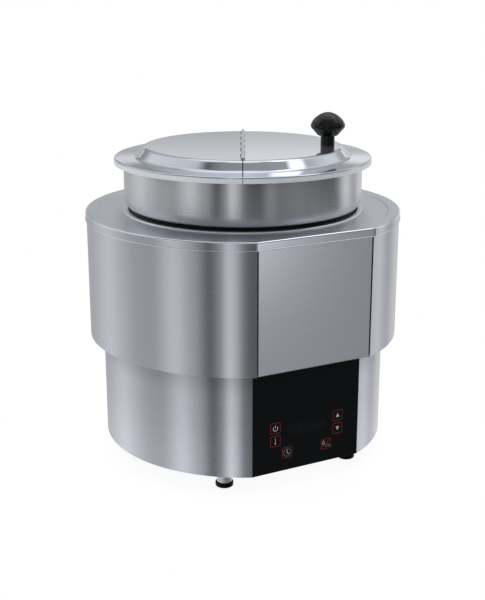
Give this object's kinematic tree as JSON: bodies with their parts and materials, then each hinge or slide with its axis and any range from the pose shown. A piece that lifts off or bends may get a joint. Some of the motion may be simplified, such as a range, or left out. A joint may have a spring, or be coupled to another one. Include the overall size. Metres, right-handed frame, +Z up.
{
  "type": "hot food well",
  "caption": "Free-standing round electric hot food well: stepped brushed steel drum with a flat touch panel, lift-out inset pot and hinged lid with a black knob.",
  "frame": {"origin": "point on the counter under the drum's axis, level with the underside of the foot pads", "axes": "+Z up, -Y towards the flat front with the touch panel, +X to the right seen from the front"},
  "size_m": [0.3518, 0.3379, 0.3866],
  "materials": {
    "housing_steel": "vertical brushed stainless",
    "deck_steel": "brushed stainless, brighter",
    "pot_steel": "round brushed stainless, satin",
    "lid_steel": "mirror polished stainless",
    "hinge_steel": "polished stainless",
    "knob_plastic": "satin black phenolic",
    "gasket_rubber": "black silicone",
    "foot_rubber": "black rubber",
    "foot_metal": "grey metal collar",
    "overlay_plastic": "gloss black with printed keys",
    "fastener_steel": "zinc plated",
    "shield_steel": "plain sheet",
    "spreader_aluminium": "cast plate",
    "element_steel": "heat darkened sheath",
    "insulation_wool": "mineral wool",
    "board_green": "glass epoxy board",
    "module_plastic": "moulded",
    "lead_sleeve": "silicone sleeve",
    "gland_plastic": "moulded nylon"
  },
  "bodies": {
    "housing": {"base_plate": "housing_steel", "foot_nuts": "fastener_steel", "lower_shell": "housing_steel", "shoulder_ring": "housing_steel", "upper_shell": "housing_steel", "upper_front_panel": "housing_steel", "panel_nuts": "fastener_steel", "top_deck": "deck_steel", "well_pan": "deck_steel", "rim_gasket": "gasket_rubber", "heat_spreader": "spreader_aluminium", "heater_element": "element_steel", "heater_clamp": "shield_steel", "heater_nuts": "fastener_steel", "temperature_probe": "element_steel", "high_limit_thermostat": "module_plastic", "heat_shield": "shield_steel", "insulation_disc": "insulation_wool", "insulation_jacket": "insulation_wool", "shield_posts": "fastener_steel", "control_overlay": "overlay_plastic", "control_board": "board_green", "board_standoffs": "module_plastic", "board_screws": "fastener_steel", "key_sensors": "module_plastic", "display_module": "module_plastic", "power_relay": "module_plastic", "terminal_block": "module_plastic", "earth_stud": "fastener_steel", "heater_lead_relay": "lead_sleeve", "heater_lead_terminal": "lead_sleeve", "power_lead": "lead_sleeve", "sensor_lead": "lead_sleeve", "board_harness": "lead_sleeve", "cord_gland": "gland_plastic", "gland_nut": "gland_plastic", "foot_collar_1": "foot_metal", "foot_collar_2": "foot_metal", "foot_collar_3": "foot_metal", "foot_collar_4": "foot_metal", "foot_pad_1": "foot_rubber", "foot_pad_2": "foot_rubber", "foot_pad_3": "foot_rubber", "foot_pad_4": "foot_rubber"},
    "pot": {"inset_pot": "pot_steel"},
    "lid": {"lid_fixed_half": "lid_steel", "hinge_leaf_fixed": "hinge_steel", "hinge_pin": "hinge_steel"},
    "lid_flap": {"lid_flap_half": "lid_steel", "hinge_leaf_flap": "hinge_steel", "lid_knob": "knob_plastic", "knob_screw": "fastener_steel", "knob_washer": "fastener_steel"}
  },
  "joints": [
    {"name": "pot_lift", "type": "slide", "parent": "housing", "child": "pot", "axis": [0, 0, 1], "range_m": [0, 0.18]},
    {"name": "lid_lift", "type": "slide", "parent": "pot", "child": "lid", "axis": [0, 0, 1], "range_m": [0, 0.12]},
    {"name": "lid_flip", "type": "hinge", "parent": "lid", "child": "lid_flap", "pos_m": [0, 0, 0.35145], "axis": [-0.4648, -0.8854, 0], "range_deg": [0, 155]}
  ]
}
